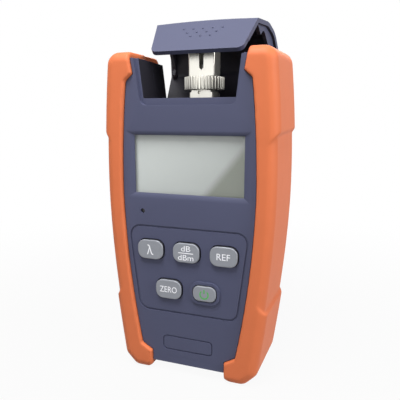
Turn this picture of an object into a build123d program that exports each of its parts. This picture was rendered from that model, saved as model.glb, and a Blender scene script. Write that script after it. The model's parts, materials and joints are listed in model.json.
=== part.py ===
"""Hand-held optical power meter with side bumpers and a flip-up port cover.

Lengths are in millimetres. X runs across the meter, Y from its front (-Y) to its
back (+Y) and Z up. The origin is in the plane of the feet, on the middle of the body.
The meter is drawn standing on its feet, with the port cover half open.
"""

import os
from math import degrees

from build123d import *

os.makedirs("parts", exist_ok=True)

# Body: two shells that meet in the plane Y = 0
shell_depth = 34.0
shell_wall = 2.4
shell_bottom = 4.6
ear_top = 138.0

# Bumpers: outer outline, seen from the front
foot_half = 31.0
foot_cut = 5.5
foot_corner = 4.6
foot_inner_width = 3.4
foot_inner_height = 2.4
foot_trim = 0.06
lower_half = 35.2
lower_height = 37.4
widest_half = 38.4
widest_height = 85.4
upper_half = 37.9
upper_height = 109.4
horn_half = 36.2
horn_corner = 5.5
horn_front_drop = 0.9
front_taper = 1.2
horn_top = 141.5
bumper_wall = 3.2
core_corner = 5.0
bumper_proud = 1.6
bumper_lip_depth = 3.0
bumper_round = 4.0
bumper_edge_round = 0.8
bumper_gap = 0.05
pad_proud = 1.3
pad_top_proud = 0.5
pad_round = 4.4
upper_pad_height = 108.4
lower_pad_height = 32.9
pad_slope = 1.1

# Visible part of the front shell between the bumpers
hook_half = 17.0
hook_height = 9.5
hook_corner_half = 21.9
hook_corner_height = 12.3
front_widest_half = 29.6
front_widest_height = 81.4
front_top_half = 27.1
front_top_height = 128.8
lobe_half = 23.9
lobe_height = 131.6
tip_half = 25.0
front_lower_half = 27.75
front_lower_height = 52.4
front_upper_half = 29.0
front_upper_height = 105.4
island_gap = 0.25

# Visible part of the rear shell between the bumpers
back_hook_height = 8.5
back_corner_half = 24.6
back_corner_height = 12.6
back_lower_half = 31.0
back_lower_height = 49.4
back_widest_half = 32.6
back_widest_height = 83.4
back_upper_half = 32.4
back_upper_height = 105.4
back_top_half = 31.6
back_top_height = 123.4

# Port bay in the top of the body
bay_floor = 115.6
bay_floor_wall = 2.2
bay_front_wall = 1.9
notch_bottom = 121.7
notch_half = 19.9
bay_flare_up = 0.12
bay_flare_back = 0.06
bay_back_edge = 13.2
rear_recess_half = 27.5
rear_recess_height = 127.9
rim_bottom = 118.8
rim_gap = 0.35

# Port cover, drawn closed and then swung open about its hinge
cover_skin = 1.9
cover_bottom = 119.2
cover_front_top = 139.7
cover_crest = 152.4
cover_crown = 1.0
cover_bottom_half = 20.2
cover_flare_up = 0.155
cover_flare_back = 0.10
cover_rim = 1.2
cover_cheek = 1.6
cover_cheek_bottom = 139.4
cover_arch_top = 143.6
cover_hinge_clearance = 0.5
cover_corner = 3.0
cover_side_gap = 0.9
cover_open_angle = 46.0
hinge_y = 14.2
hinge_z = 118.4
knuckle_radius = 2.4
hinge_pin_radius = 1.0
hinge_running_gap = 0.05
press_gap = 0.02
middle_lug_half = 12.5
knuckle_width = 4.0
outer_lug_width = 2.0
knuckle_gap = 0.3
grip_dot_radius = 0.55
grip_dot_height = 0.35
grip_dot_pitch = 4.4
grip_row_pitch = 2.6
grip_top_row = 133.8

# Display
bezel_half = 27.5
bezel_top = 108.4
bezel_bottom = 79.6
glass_half = 24.2
glass_top = 106.6
glass_bottom = 81.9
bezel_depth = 1.2
window_lip = 0.4
window_thickness = 1.2
window_margin = 1.6
panel_margin = 1.2
panel_thickness = 2.4
holder_thickness = 2.0
holder_leg_radius = 1.4
seat_gap = 0.1

# Keypad
pad_top = 67.9
pad_bottom = 28.9
pad_top_half = 27.4
pad_bottom_half = 22.8
pad_groove_width = 0.8
pad_groove_depth = 0.5
pad_corner = 5.0
key_width = 12.0
key_height = 8.6
key_corner = 3.4
power_width = 10.4
power_height = 6.8
power_corner = 2.8
key_gap = 0.3
key_proud = 1.5
key_travel = 1.0
key_flange = 0.9
key_flange_thickness = 0.8
key_edge = 0.5
collar_wall = 1.3
collar_height = 0.9
upper_key_row = 57.3
lower_key_row = 40.1
upper_key_pitch = 16.6
lower_key_offset = 8.25

# Indicator and label place
indicator_x = -20.5
indicator_z = 74.0
indicator_radius = 1.0
indicator_recess = 0.9
indicator_flange = 0.8
label_width = 23.4
label_height = 6.8
label_z = 14.5
label_groove = 0.5
label_corner = 2.0

# Circuit board and what it carries
board_thickness = 1.6
board_front_y = -7.2
board_top = 110.4
board_bottom = 12.9
board_side_room = 12.8
board_foot_half = 19.6
board_step_height = 39.4
board_hole_gap = 0.2
mat_top = 65.4
mat_bottom = 33.4
mat_top_half = 24.0
mat_bottom_half = 18.5
mat_thickness = 1.1
mat_skirt = 1.2
mat_gap = 0.3
switch_size = 6.0
switch_height = 3.2
switch_button_radius = 1.7
switch_button_height = 0.7
led_size = 2.0
led_height = 1.0

# Screws
housing_screw_inset = 9.2
housing_screw_height = 100.4
lower_screw_half = 23.0
lower_screw_height = 19.9
housing_boss_radius = 2.7
housing_screw_radius = 1.3
housing_head_radius = 2.4
housing_head_height = 2.0
housing_screw_length = 19.0
housing_head_recess = 3.2
screw_gap = 0.2
board_post_inset = 2.3
board_post_height = 70.6
lower_post_inset = 3.2
lower_post_height = 20.4
board_post_radius = 2.2
board_screw_radius = 0.9
board_head_radius = 1.7
board_head_height = 1.3
board_screw_length = 6.0

# Battery compartment
cell_radius = 7.2
cell_length = 49.2
cell_nub_radius = 2.7
cell_nub_length = 1.1
cell_gap = 0.3
cell_bottom = 24.4
bottom_contact_room = 3.4
top_contact_room = 4.7
compartment_wall = 1.6
door_thickness = 1.8
door_gap = 0.3
door_margin = 2.0
door_top_margin = 2.2
door_stub_radius = 0.7
door_stub_length = 1.2
door_stub_gap = 0.08
contact_thickness = 0.4
contact_width = 8.0
contact_reach = 4.0
thumb_recess_width = 14.0
thumb_recess_height = 5.0
thumb_recess_depth = 0.7

# Port: base, detector, adapter and coupling ring
port_y = 5.5
port_base_width = 11.2
port_base_depth = 10.0
port_flange_width = 19.6
port_flange_depth = 11.0
port_flange_thickness = 1.6
port_base_top = 124.6
port_neck_width = 10.0
port_neck_top = 125.5
port_hole_width = 2.9
port_hole_height = 1.5
barrel_radius = 4.9
barrel_top = 128.4
aperture_radius = 2.0
detector_radius = 3.9
detector_height = 3.4
header_radius = 4.6
header_thickness = 1.0
lead_radius = 0.25
lead_circle = 1.8
lead_length = 4.0
lead_hole_radius = 3.2
port_screw_x = 7.8
port_screw_radius = 0.95
port_screw_head_radius = 1.7
port_screw_head_height = 1.2
port_screw_length = 4.6
ring_radius = 8.85
ring_bottom = 125.8
ring_top = 131.2
ring_ledge = 128.1
ring_lip = 1.3
ring_play = 0.3
ring_groove_count = 36
ring_groove_depth = 0.45
ring_running_gap = 0.08
collar_radius = 7.0
collar_thickness = 1.15
neck_radius = 5.2
adapter_width = 12.0
adapter_depth = 8.8
adapter_bottom = 131.5
adapter_top = 142.1
adapter_floor = 133.6
socket_width = 9.2
socket_depth = 6.4
keyway_width = 1.9
keyway_bottom = 134.1
sleeve_radius = 1.8
sleeve_bore_radius = 1.25
sleeve_bottom = 128.6
sleeve_top = 136.6

# Values worked out from the sizes above
front_face = -shell_depth / 2
back_face = shell_depth / 2
bumper_front = front_face - bumper_proud
bumper_back = back_face + bumper_proud
lip_front = bumper_front + bumper_lip_depth
lip_back = bumper_back - bumper_lip_depth
front_inside = front_face + shell_wall
back_inside = back_face - shell_wall
bay_front = front_face + cover_skin + rim_gap / 2 + bay_front_wall
window_front = front_face + bezel_depth + window_lip
panel_front = window_front + window_thickness + seat_gap
panel_back = panel_front + panel_thickness
board_back_y = board_front_y + board_thickness
flange_front = front_inside + 0.2
flange_back = flange_front + key_flange_thickness
mat_front = flange_back + key_travel + mat_gap
board_half = widest_half - board_side_room
housing_screw_places = (
    (widest_half - housing_screw_inset, housing_screw_height),
    (lower_screw_half, lower_screw_height),
)
board_post_places = (
    (board_half - board_post_inset, board_post_height),
    (board_foot_half - lower_post_inset, lower_post_height),
)
cells_top = cell_bottom + cell_length + cell_nub_length
compartment_bottom = cell_bottom - bottom_contact_room
compartment_top = cells_top + top_contact_room
door_inner = back_face - door_thickness
door_pivot_y = (door_inner + back_face) / 2
door_pivot_radius = door_thickness / 2
cell_x = cell_radius + cell_gap / 2
cell_y = door_inner - cell_gap - cell_radius
compartment_half = cell_x + cell_radius + cell_gap
compartment_floor = cell_y - cell_radius - cell_gap
door_bottom = compartment_bottom - door_margin
door_top = compartment_top + door_top_margin
door_half = compartment_half + door_margin
outer_lug_x = middle_lug_half + knuckle_width + 2 * knuckle_gap + outer_lug_width / 2
cover_plate_bottom = hinge_z + knuckle_radius + cover_hinge_clearance
port_axis = Plane((0, port_y, 0), x_dir=(1, 0, 0), z_dir=(0, 0, 1))


def prism(face, y_from, y_to, mode=Mode.ADD):
    """Extrude a front-view face between two depths, into the part being built."""
    start = face.moved(Location((0, y_from, 0)))
    extrude(to_extrude=start, amount=y_to - y_from, dir=(0, 1, 0), mode=mode)


def flared_block(half_at, y_from, y_to, z_from, z_to, growth=0.0):
    """Solid whose sides lean out upwards and backwards, as half_at(y, z) says."""
    with BuildPart() as block:
        for z in (z_from, z_to):
            front_half = half_at(y_from, z) + growth
            back_half = half_at(y_to, z) + growth
            with BuildSketch(Plane.XY.offset(z)):
                with BuildLine():
                    Polyline(
                        (-front_half, y_from),
                        (front_half, y_from),
                        (back_half, y_to),
                        (-back_half, y_to),
                        close=True,
                    )
                make_face()
        loft()
    return block.part


def bay_half(y, z):
    """Half width inside the port bay."""
    return notch_half + bay_flare_up * (z - notch_bottom) + bay_flare_back * (y - front_face)


def cover_half(y, z):
    """Half width of the closed port cover."""
    return cover_bottom_half + cover_flare_up * (z - cover_bottom) + cover_flare_back * (y - front_face)


def rounded_face(x, z, width, height, corner, growth=0.0):
    """Rounded rectangle in the front view, grown all round."""
    with BuildSketch(Plane.XZ) as sketch:
        with Locations((x, z)):
            RectangleRounded(width + 2 * growth, height + 2 * growth, corner + growth)
    return sketch.sketch


def disc_face(x, z, radius):
    """Disc in the front view."""
    with BuildSketch(Plane.XZ) as sketch:
        with Locations((x, z)):
            Circle(radius)
    return sketch.sketch


def block_face(x_from, x_to, z_from, z_to):
    """Rectangle in the front view."""
    with BuildSketch(Plane.XZ) as sketch:
        with Locations(((x_from + x_to) / 2, (z_from + z_to) / 2)):
            Rectangle(x_to - x_from, z_to - z_from)
    return sketch.sketch


def glass_margin_face(margin):
    """Rectangle that stands out round the visible glass by a margin."""
    return block_face(-glass_half - margin, glass_half + margin, glass_bottom - margin, glass_top + margin)


def tapered_face(top, bottom, top_half, bottom_half, corner):
    """Symmetrical trapezium with round corners, in the front view."""
    with BuildSketch(Plane.XZ) as sketch:
        with BuildLine():
            Polyline(
                (-top_half, top),
                (top_half, top),
                (bottom_half, bottom),
                (-bottom_half, bottom),
                close=True,
            )
        make_face()
        if corner:
            fillet(sketch.vertices(), corner)
    return sketch.sketch


# Outlines seen from the front
def side_outline(inset, z_low, z_high, low_corner, high_corner, top_inset=None, low_cut=0.0):
    """Outline of the meter seen from the front, drawn in from the bumpers by an inset."""
    if top_inset is None:
        top_inset = inset
    with BuildSketch(Plane.XZ) as sketch:
        with BuildLine():
            base = z_low if low_cut else 0
            start = (foot_half - inset, base + low_cut)
            corner = (foot_half - inset - low_cut, base)
            Line((-corner[0], base), corner)
            if low_cut:
                mirror(Line(corner, start), about=Plane.YZ)
            side = Spline(
                start,
                (lower_half - inset, lower_height),
                (widest_half - inset, widest_height),
                (upper_half - inset, upper_height),
                (horn_half - top_inset, horn_top),
            )
            mirror(side, about=Plane.YZ)
            Line((top_inset - horn_half, horn_top), (horn_half - top_inset, horn_top))
        make_face()
        with Locations((0, (z_low + z_high) / 2)):
            Rectangle(4 * widest_half, z_high - z_low, mode=Mode.INTERSECT)
        low_corners = sketch.vertices().group_by(Axis.Y)[0]
        if low_cut:
            low_corners = sketch.vertices().sort_by(Axis.Y)[:4]
        fillet(low_corners, low_corner)
        fillet(sketch.vertices().group_by(Axis.Y)[-1], high_corner)
    return sketch.sketch


def bumper_outlines(proud, top_proud):
    """Front and back outlines of the bumpers, which narrow towards the front."""
    return [
        side_outline(
            taper - proud,
            -foot_trim,
            horn_top - drop,
            foot_corner,
            horn_corner,
            top_inset=taper - top_proud,
            low_cut=foot_cut,
        )
        for taper, drop in ((front_taper, horn_front_drop), (0.0, 0.0))
    ]


core_outline = side_outline(bumper_wall, shell_bottom, ear_top, core_corner, core_corner)
core_room = side_outline(
    bumper_wall - bumper_gap, shell_bottom - bumper_gap, ear_top + bumper_gap, core_corner, core_corner
)
inner_outline = side_outline(
    bumper_wall + shell_wall,
    shell_bottom + shell_wall,
    ear_top - shell_wall,
    core_corner - shell_wall,
    core_corner - shell_wall,
)

def foot_opening(hook_top):
    """Line from under the body along the bevelled inner edge of a foot."""
    Polyline(
        (0, -foot_inner_height),
        (hook_half + 2 * foot_inner_width, -foot_inner_height),
        (hook_half, foot_inner_height),
        (hook_half, hook_top),
    )


with BuildSketch(Plane.XZ) as window_outline:
    with BuildLine():
        foot_opening(hook_height)
        Line((hook_half, hook_height), (hook_corner_half, hook_corner_height))
        ThreePointArc(
            (hook_corner_half, hook_corner_height),
            (front_lower_half, front_lower_height),
            (front_widest_half, front_widest_height),
        )
        ThreePointArc(
            (front_widest_half, front_widest_height),
            (front_upper_half, front_upper_height),
            (front_top_half, front_top_height),
        )
        Polyline(
            (front_top_half, front_top_height),
            (lobe_half, lobe_height),
            (tip_half, ear_top),
            (tip_half + 0.8, horn_top + 4),
            (0, horn_top + 4),
        )
        mirror(about=Plane.YZ)
    make_face()

with BuildSketch(Plane.XZ) as window_inset:
    add(window_outline.sketch_local)
    offset(amount=-island_gap, kind=Kind.INTERSECTION, mode=Mode.REPLACE)
island_outline = window_inset.sketch & core_outline

with BuildSketch(Plane.XZ) as back_window_outline:
    with BuildLine():
        foot_opening(back_hook_height)
        back_corner = (back_corner_half, back_corner_height)
        back_widest = (back_widest_half, back_widest_height)
        back_top = (back_top_half, back_top_height)
        Line((hook_half, back_hook_height), back_corner)
        ThreePointArc(back_corner, (back_lower_half, back_lower_height), back_widest)
        ThreePointArc(back_widest, (back_upper_half, back_upper_height), back_top)
        Polyline(
            back_top,
            (rear_recess_half, rear_recess_height),
            (rear_recess_half, horn_top + 4),
            (0, horn_top + 4),
        )
        mirror(about=Plane.YZ)
    make_face()

with BuildSketch(Plane.XZ) as back_window_inset:
    add(back_window_outline.sketch_local)
    offset(amount=-island_gap, kind=Kind.INTERSECTION, mode=Mode.REPLACE)
back_island_outline = back_window_inset.sketch & core_outline

# Spaces cut from the body: the port bay and the room the port cover needs
bay_space = flared_block(bay_half, bay_front, back_face + 5, bay_floor, horn_top + 6)
bay_notch = flared_block(bay_half, front_face - 5, bay_front + 1, notch_bottom, horn_top + 6)
bay_block = flared_block(
    bay_half, front_face - 5, back_face + 5, bay_floor - bay_floor_wall, horn_top + 6, growth=shell_wall
)
cover_room = flared_block(
    cover_half, bumper_front - 3, bumper_back + 3, ear_top, cover_crest + 8, growth=cover_side_gap
)
rear_recess = block_face(-rear_recess_half, rear_recess_half, bay_floor, horn_top + 6)
rear_recess_walls = block_face(
    -rear_recess_half - shell_wall, rear_recess_half + shell_wall, bay_floor - bay_floor_wall, horn_top + 6
)
rim_half = cover_bottom_half + rim_gap
rim_top = ear_top + 5
with BuildSketch(Plane.XZ) as rim_outline:
    with BuildLine():
        Polyline(
            (-rim_half - cover_flare_up * (rim_top - cover_bottom), rim_top),
            (rim_half + cover_flare_up * (rim_top - cover_bottom), rim_top),
            (rim_half, rim_bottom),
            (-rim_half, rim_bottom),
            close=True,
        )
    make_face()
    fillet(rim_outline.vertices().group_by(Axis.Y)[0], cover_corner)

with BuildPart() as inner_space:
    prism(inner_outline, front_inside, back_inside)
    add(bay_block, mode=Mode.SUBTRACT)
    prism(rear_recess_walls, bay_back_edge - shell_wall, back_face + 1, mode=Mode.SUBTRACT)


def boss(x, z, radius, y_from, y_to):
    """Round boss along Y, in the part being built."""
    prism(disc_face(x, z, radius), y_from, y_to)


def bore(x, z, radius, y_from, y_to):
    """Round hole along Y, in the part being built."""
    prism(disc_face(x, z, radius), y_from, y_to, mode=Mode.SUBTRACT)


def both_sides(places):
    """The places and their mirror images."""
    return [(side * x, z) for x, z in places for side in (-1, 1)]


# Keys: name, place, cap size and corner
keys = {
    "wavelength": (-upper_key_pitch, upper_key_row, key_width, key_height, key_corner),
    "units": (0, upper_key_row, key_width, key_height, key_corner),
    "reference": (upper_key_pitch, upper_key_row, key_width, key_height, key_corner),
    "zero": (-lower_key_offset, lower_key_row, key_width, key_height, key_corner),
    "power": (lower_key_offset, lower_key_row, power_width, power_height, power_corner),
}

# Front shell
with BuildPart() as front_shell:
    prism(core_outline, lip_front, 0)
    prism(island_outline, front_face, lip_front)
    add(inner_space.part, mode=Mode.SUBTRACT)
    add(bay_space, mode=Mode.SUBTRACT)
    add(bay_notch, mode=Mode.SUBTRACT)
    prism(rim_outline.sketch, front_face - 1, front_face + cover_skin + rim_gap / 2, mode=Mode.SUBTRACT)
    for x, z in both_sides(housing_screw_places):
        boss(x, z, housing_boss_radius, front_inside - 0.5, 0)
        bore(x, z, housing_screw_radius + press_gap, front_inside + 2, 1)
    for x, z in both_sides(board_post_places):
        boss(x, z, board_post_radius, front_inside - 0.5, board_front_y)
        bore(x, z, board_screw_radius + press_gap, board_back_y - board_screw_length - 0.5, 1)
    # Display opening with its sloping bezel and the seat of the window behind it
    outer_bezel = block_face(-bezel_half, bezel_half, bezel_bottom, bezel_top)
    glass_face = glass_margin_face(0)
    loft(
        [
            outer_bezel.faces()[0].moved(Location((0, front_face, 0))),
            glass_face.faces()[0].moved(Location((0, front_face + bezel_depth, 0))),
        ],
        mode=Mode.SUBTRACT,
    )
    prism(glass_face, front_face + bezel_depth - 0.2, front_inside + 1, mode=Mode.SUBTRACT)
    window_seat = glass_margin_face(window_margin + seat_gap)
    prism(window_seat, window_front, front_inside + 1, mode=Mode.SUBTRACT)
    # Groove that frames the keypad, the key holes and the collar round the power key
    keypad_frame = tapered_face(pad_top, pad_bottom, pad_top_half, pad_bottom_half, pad_corner)
    keypad_field = tapered_face(
        pad_top - pad_groove_width,
        pad_bottom + pad_groove_width,
        pad_top_half - pad_groove_width,
        pad_bottom_half - pad_groove_width,
        pad_corner - pad_groove_width,
    )
    prism(keypad_frame - keypad_field, front_face - 1, front_face + pad_groove_depth, mode=Mode.SUBTRACT)
    collar_face = rounded_face(*keys["power"], growth=key_gap + collar_wall)
    prism(collar_face, front_face - collar_height, front_face + 0.5)
    for cap in keys.values():
        prism(rounded_face(*cap, growth=key_gap), front_face - 2, front_inside + 1, mode=Mode.SUBTRACT)
    # Indicator hole and the groove round the bare label place
    bore(indicator_x, indicator_z, indicator_radius, front_face - 1, front_inside + 1)
    with BuildSketch(Plane.XZ) as label_ring:
        with Locations((0, label_z)):
            RectangleRounded(label_width, label_height, label_corner)
            RectangleRounded(
                label_width - 2 * label_groove,
                label_height - 2 * label_groove,
                label_corner - label_groove,
                mode=Mode.SUBTRACT,
            )
    prism(label_ring.sketch, front_face - 1, front_face + label_groove, mode=Mode.SUBTRACT)
front_shell.part.label = "front_shell"

# Rear shell, with the battery compartment, the hinge lugs and the floor of the port bay
compartment_box = block_face(-compartment_half, compartment_half, compartment_bottom, compartment_top)
compartment_shell = block_face(
    -compartment_half - compartment_wall,
    compartment_half + compartment_wall,
    compartment_bottom - compartment_wall,
    compartment_top + compartment_wall,
)
door_hole = block_face(
    -door_half - door_gap, door_half + door_gap, door_bottom - door_gap, door_top + door_gap
)
with BuildPart() as rear_shell:
    prism(core_outline, 0, lip_back)
    prism(back_island_outline, lip_back, back_face)
    add(inner_space.part, mode=Mode.SUBTRACT)
    add(bay_space, mode=Mode.SUBTRACT)
    prism(rear_recess, bay_back_edge, back_face + 1, mode=Mode.SUBTRACT)
    prism(compartment_shell, compartment_floor - compartment_wall, back_inside + 0.5)
    prism(door_hole, door_inner - door_gap / 2, back_face + 1, mode=Mode.SUBTRACT)
    prism(compartment_box, compartment_floor, back_face + 1, mode=Mode.SUBTRACT)
    for x, z in both_sides(housing_screw_places):
        boss(x, z, housing_boss_radius + 0.6, 0, back_inside + 0.5)
        bore(x, z, housing_screw_radius + screw_gap, -1, back_face + 1)
        bore(x, z, housing_head_radius + screw_gap, back_face - housing_head_recess, back_face + 1)
    for side in (-1, 1):
        with Locations((side * (door_half + door_gap), door_pivot_y, door_bottom + door_pivot_radius)):
            Cylinder(
                door_stub_radius + door_stub_gap,
                2 * (door_stub_length + door_gap),
                rotation=(0, 90, 0),
                mode=Mode.SUBTRACT,
            )
    # Hinge lugs on the floor of the bay
    lug_places = [(0, 2 * middle_lug_half)]
    lug_places += [(-outer_lug_x, outer_lug_width), (outer_lug_x, outer_lug_width)]
    for x, width in lug_places:
        with BuildSketch(Plane.YZ.offset(x - width / 2)):
            with Locations((hinge_y, hinge_z)):
                Circle(knuckle_radius)
            with Locations((hinge_y, (bay_floor + hinge_z) / 2 - 0.25)):
                Rectangle(2 * knuckle_radius, hinge_z - bay_floor + 0.5)
        extrude(amount=width)
    with Locations((0, hinge_y, hinge_z)):
        Cylinder(
            hinge_pin_radius + press_gap,
            2 * (outer_lug_x + outer_lug_width),
            rotation=(0, 90, 0),
            mode=Mode.SUBTRACT,
        )
    # Seat of the detector and of the screws that hold the port base
    for x in (-port_screw_x, port_screw_x):
        with BuildSketch(port_axis.offset(bay_floor - 0.5)):
            with Locations((x, 0)):
                Circle(port_screw_head_radius + 0.6)
        extrude(amount=0.5 - port_screw_length)
        with BuildSketch(port_axis.offset(bay_floor + 1)):
            with Locations((x, 0)):
                Circle(port_screw_radius + press_gap)
        extrude(amount=-port_screw_length - 0.5, mode=Mode.SUBTRACT)
    with BuildSketch(port_axis.offset(bay_floor + 1)):
        Circle(lead_hole_radius)
    extrude(amount=-bay_floor_wall - 2, mode=Mode.SUBTRACT)
rear_shell.part.label = "rear_shell"

# Bumpers: a grip that wraps round both shells, with raised pads at the horn and the foot
pad_cut_up = Plane(origin=(widest_half, 0, upper_pad_height), x_dir=(0, 1, 0), z_dir=(-pad_slope, 0, 1))
pad_cut_down = Plane(
    origin=(widest_half - 3, 0, lower_pad_height), x_dir=(0, 1, 0), z_dir=(-pad_slope, 0, -1)
)


def bumper_solid(proud, top_proud, radius):
    """Both bumpers as one block that narrows towards the front, with rounded edges."""
    front_outline, back_outline = bumper_outlines(proud, top_proud)
    with BuildPart() as solid:
        loft(
            [
                front_outline.faces()[0].moved(Location((0, bumper_front, 0))),
                back_outline.faces()[0].moved(Location((0, bumper_back, 0))),
            ],
            ruled=True,
        )
        ends = solid.faces().sort_by(Axis.Y)
        fillet(ends[0].edges() + ends[-1].edges(), radius)
    return solid.part


bumper_base = bumper_solid(0, 0, bumper_round)
bumper_pads = bumper_solid(pad_proud, pad_top_proud, pad_round)
right_half = Box(100, 200, 400, align=(Align.MIN, Align.CENTER, Align.CENTER))

upper_pad = split(bumper_pads & right_half, bisect_by=pad_cut_up, keep=Keep.TOP)
lower_pad = split(bumper_pads & right_half, bisect_by=pad_cut_down, keep=Keep.TOP)
under_pad = split(bumper_base & right_half, bisect_by=pad_cut_up, keep=Keep.BOTTOM)
waist = split(under_pad, bisect_by=pad_cut_down, keep=Keep.BOTTOM)

with BuildPart() as right_bumper:
    add(waist)
    add(upper_pad)
    add(lower_pad)
    under_feet = block_face(-2 * widest_half, 2 * widest_half, -5, 0)
    prism(under_feet, bumper_front - 5, bumper_back + 5, mode=Mode.SUBTRACT)
    prism(window_outline.sketch, bumper_front - 5, 0, mode=Mode.SUBTRACT)
    prism(back_window_outline.sketch, 0, bumper_back + 5, mode=Mode.SUBTRACT)
    prism(core_room, lip_front - bumper_gap, lip_back + bumper_gap, mode=Mode.SUBTRACT)
    add(cover_room, mode=Mode.SUBTRACT)
    front_edges = right_bumper.edges().filter_by_position(Axis.Y, bumper_front - 0.01, bumper_front + 0.01)
    window_edges = [
        edge
        for edge in front_edges
        if edge.geom_type != GeomType.BSPLINE and edge.center().X < front_widest_half
    ]
    fillet(window_edges, bumper_edge_round)
right_bumper.part.label = "right_bumper"

with BuildPart() as left_bumper:
    add(right_bumper.part)
    mirror(about=Plane.YZ, mode=Mode.REPLACE)
left_bumper.part.label = "left_bumper"

# Port cover: drawn closed, then swung open about the hinge
cover_back = back_face - 0.6
cover_profile_points = (
    (front_face, cover_bottom),
    (front_face, cover_front_top),
    (front_face + 8.0, cover_front_top + 9.0),
    (front_face + 16.0, cover_crest),
    (front_face + 25.5, cover_crest - 1.0),
    (cover_back, cover_front_top + 4.0),
    (cover_back, cover_plate_bottom),
)
cover_profile_radii = (1.0, 9.0, 12.0, 9.0, 5.0)
crown_radius = cover_half(front_face, cover_front_top) ** 2 / (2 * cover_crown)
crown_axis = Axis((0, 0, cover_front_top - crown_radius), (0, 1, 0))


def crowned(profile, mode=Mode.ADD):
    """Sweep a side view of the cover along its slight crown, into the part being built."""
    half_turn = degrees(2 * widest_half / crown_radius)
    for direction in (-1, 1):
        revolve(profile, axis=crown_axis, revolution_arc=direction * half_turn, mode=mode)


with BuildSketch(Plane.YZ) as cover_profile:
    with BuildLine():
        FilletPolyline(*cover_profile_points, radius=cover_profile_radii)
        Line(cover_profile_points[-1], cover_profile_points[0])
    make_face()

with BuildSketch(Plane.YZ) as cover_inside:
    add(cover_profile.sketch_local)
    offset(amount=-cover_skin, mode=Mode.REPLACE)
    with Locations(((front_face + cover_back) / 2, cover_bottom + 2)):
        Rectangle(cover_back - front_face - 2 * cover_skin, 16)

with BuildSketch(Plane.YZ) as cheek_cut:
    cheek_middle = (front_face + cover_back) / 2 + 2
    with Locations((cheek_middle, cover_bottom)):
        Rectangle(4 * shell_depth, 2 * (cover_cheek_bottom - cover_bottom))
    with Locations((cheek_middle, cover_cheek_bottom)):
        RectangleRounded(20.0, 2 * (cover_arch_top - cover_cheek_bottom), 2.2)

cover_sides = (front_face, cover_back, cover_bottom, cover_crest + 1)
hinge_axis = Axis((0, hinge_y, hinge_z), (1, 0, 0))
knuckle_x = middle_lug_half + knuckle_gap + knuckle_width / 2

with BuildPart() as cheeks:
    crowned(cover_inside.sketch)
    add(flared_block(cover_half, *cover_sides, growth=-cover_rim), mode=Mode.INTERSECT)
    add(flared_block(cover_half, *cover_sides, growth=-cover_rim - cover_cheek), mode=Mode.SUBTRACT)
    extrude(cheek_cut.sketch, amount=2 * widest_half, both=True, mode=Mode.SUBTRACT)

front_plate_face = tapered_face(
    cover_crest,
    cover_bottom,
    cover_half(front_face, cover_crest),
    cover_half(front_face, cover_bottom),
    cover_corner,
)
corner_band = block_face(-2 * widest_half, 2 * widest_half, cover_bottom - 2, cover_bottom + 2 * cover_corner)
corner_waste = corner_band - front_plate_face

with BuildPart() as closed_cover:
    crowned(cover_profile.sketch)
    crowned(cover_inside.sketch, mode=Mode.SUBTRACT)
    add(flared_block(cover_half, *cover_sides), mode=Mode.INTERSECT)
    under_back_plate = block_face(-2 * widest_half, 2 * widest_half, cover_bottom - 5, cover_plate_bottom)
    prism(under_back_plate, cover_back - 2 * cover_skin, cover_back + 1, mode=Mode.SUBTRACT)
    prism(corner_waste, front_face - 1, front_face + cover_skin + 1, mode=Mode.SUBTRACT)
    add(cheeks.part)
    for side in (-1, 1):
        with BuildSketch(Plane.YZ.offset(side * knuckle_x - knuckle_width / 2)):
            with Locations((hinge_y, hinge_z)):
                Circle(knuckle_radius)
            with Locations((cover_back - cover_skin / 2, (hinge_z + cover_profile_points[-1][1] + 0.5) / 2)):
                Rectangle(cover_skin, cover_profile_points[-1][1] + 0.5 - hinge_z)
        extrude(amount=knuckle_width)
    with Locations((0, hinge_y, hinge_z)):
        Cylinder(
            hinge_pin_radius + hinge_running_gap, 4 * knuckle_x, rotation=(0, 90, 0), mode=Mode.SUBTRACT
        )
    for row in range(3):
        row_count = 5 - row
        with BuildSketch(Plane.XZ.offset(-front_face)):
            with Locations((0, grip_top_row - row * grip_row_pitch)):
                with GridLocations(grip_dot_pitch, 1, row_count, 1):
                    Circle(grip_dot_radius)
        extrude(amount=grip_dot_height, taper=30)

with BuildPart() as port_cover:
    add(closed_cover.part.rotate(hinge_axis, -cover_open_angle))
port_cover.part.label = "port_cover"

# Hinge pin of the port cover
with BuildPart() as cover_hinge_pin:
    with Locations((0, hinge_y, hinge_z)):
        Cylinder(hinge_pin_radius, 2 * outer_lug_x + outer_lug_width, rotation=(0, 90, 0))
cover_hinge_pin.part.label = "cover_hinge_pin"

# Display: clear window, glass panel and the holder that stands on the board
with BuildPart() as display_window:
    prism(glass_margin_face(window_margin), window_front, window_front + window_thickness)
display_window.part.label = "display_window"

with BuildPart() as display_panel:
    prism(glass_margin_face(panel_margin), panel_front, panel_back)
display_panel.part.label = "display_panel"

leg_x = glass_half + panel_margin - holder_leg_radius
leg_rows = (
    glass_bottom - panel_margin + holder_leg_radius,
    glass_top + panel_margin - holder_leg_radius,
)
with BuildPart() as display_holder:
    prism(glass_margin_face(panel_margin), panel_back, panel_back + holder_thickness)
    for x in (-leg_x, leg_x):
        for z in leg_rows:
            boss(x, z, holder_leg_radius, panel_back, board_front_y)
display_holder.part.label = "display_holder"

# Circuit board with its screws, switches and lamp
with BuildPart() as circuit_board:
    prism(block_face(-board_half, board_half, board_step_height, board_top), board_front_y, board_back_y)
    prism(
        block_face(-board_foot_half, board_foot_half, board_bottom, board_step_height + 0.1),
        board_front_y,
        board_back_y,
    )
    for x, z in both_sides(board_post_places):
        bore(x, z, board_screw_radius + board_hole_gap, board_front_y - 1, board_back_y + 1)
circuit_board.part.label = "circuit_board"

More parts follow.
